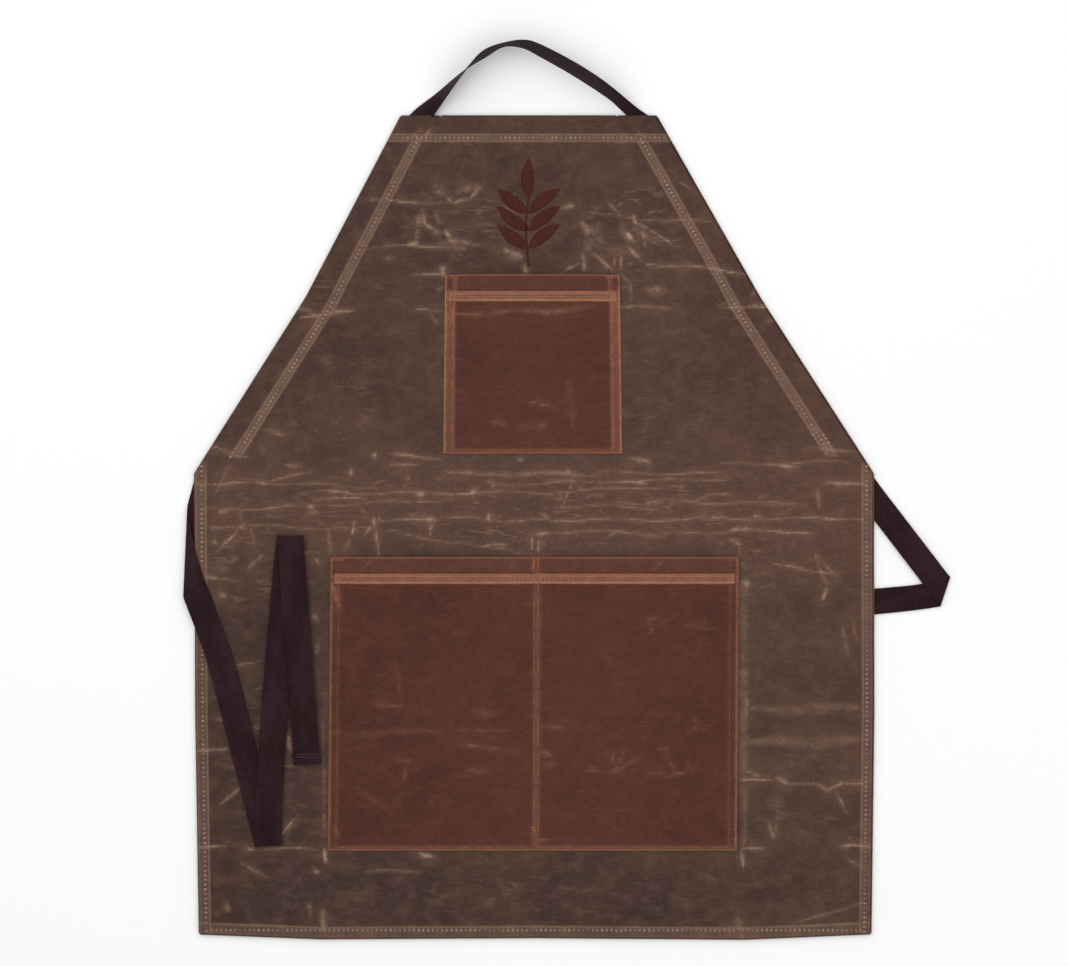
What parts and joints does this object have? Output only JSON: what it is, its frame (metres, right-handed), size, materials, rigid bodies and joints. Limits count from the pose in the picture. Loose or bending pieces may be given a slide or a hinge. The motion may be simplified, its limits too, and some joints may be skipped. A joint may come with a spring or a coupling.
{
  "type": "bib apron",
  "caption": "Waxed canvas bib apron laid flat, with a chest patch pocket, a wide divided lower pocket, and flat webbing through slanted edge casings that makes the neck loop and waist ties.",
  "frame": {"origin": "on the surface that the apron lies on, under the middle of the cloth's length and width", "axes": "+X across the apron to the right as its front is seen, +Y up the apron towards the neck loop, +Z out of the front"},
  "size_m": [0.7352, 0.8595, 0.0255],
  "materials": {
    "canvas": "dark brown waxed cotton canvas, matt, with lighter creases and scuffs",
    "pocket_canvas": "redder brown waxed cotton canvas, matt, worn lighter along its folds",
    "webbing": "flat woven cotton tape, near-black brown, matt",
    "thread": "tan cotton thread, lightly waxed",
    "ink": "thin matt brown textile ink"
  },
  "bodies": {
    "skirt": {"skirt_panel": "canvas", "left_side_hem": "canvas", "right_side_hem": "canvas", "bottom_hem": "canvas", "lower_pocket": "pocket_canvas", "left_lower_pocket_hem": "pocket_canvas", "right_lower_pocket_hem": "pocket_canvas", "left_side_hem_stitching": "thread", "right_side_hem_stitching": "thread", "bottom_hem_stitching": "thread", "lower_pocket_stitching": "thread", "lower_pocket_hem_stitching": "thread", "pocket_divider_stitching": "thread", "left_tie_root": "webbing", "right_tie_root": "webbing"},
    "bib": {"bib_panel": "canvas", "top_hem": "canvas", "left_casing": "canvas", "right_casing": "canvas", "left_casing_webbing": "webbing", "right_casing_webbing": "webbing", "chest_pocket": "pocket_canvas", "chest_pocket_hem": "pocket_canvas", "bib_print": "ink", "top_hem_stitching": "thread", "left_casing_stitching": "thread", "right_casing_stitching": "thread", "chest_pocket_stitching": "thread", "chest_pocket_hem_stitching": "thread"},
    "neck_loop": {"neck_loop": "webbing"},
    "left_tie_first_run": {"left_tie_wrap": "webbing", "left_tie_run_one": "webbing"},
    "left_tie_second_run": {"left_tie_run_two": "webbing"},
    "left_tie_third_run": {"left_tie_run_three": "webbing", "left_tie_end_hem": "webbing", "left_tie_end_stitching": "thread"},
    "right_tie_tail": {"right_tie_tail": "webbing", "right_tie_end_hem": "webbing"}
  },
  "joints": [
    {"name": "waist_fold", "type": "hinge", "parent": "skirt", "child": "bib", "pos_m": [0, 0.051, 0.0046], "axis": [1, 0, 0], "range_deg": [0, 160]},
    {"name": "neck_loop_swing", "type": "hinge", "parent": "bib", "child": "neck_loop", "pos_m": [0, 0.39515, 0.0034], "axis": [1, 0, 0], "range_deg": [0, 120]},
    {"name": "left_tie_turn", "type": "hinge", "parent": "skirt", "child": "left_tie_first_run", "pos_m": [-0.332, -0.029, 0.00235], "axis": [0, -1, 0], "range_deg": [0, 150]},
    {"name": "left_tie_lower_fold", "type": "hinge", "parent": "left_tie_first_run", "child": "left_tie_second_run", "pos_m": [-0.255, -0.306, 0.0048], "axis": [1, 0, 0], "range_deg": [0, 170]},
    {"name": "left_tie_upper_fold", "type": "hinge", "parent": "left_tie_second_run", "child": "left_tie_third_run", "pos_m": [-0.234, -0.009, 0.0061], "axis": [-1, 0, 0], "range_deg": [0, 170]},
    {"name": "right_tie_crease", "type": "hinge", "parent": "skirt", "child": "right_tie_tail", "pos_m": [0.3947, -0.0626, 0.0014], "axis": [-0.3162, -0.9487, 0], "range_deg": [0, 170]}
  ]
}
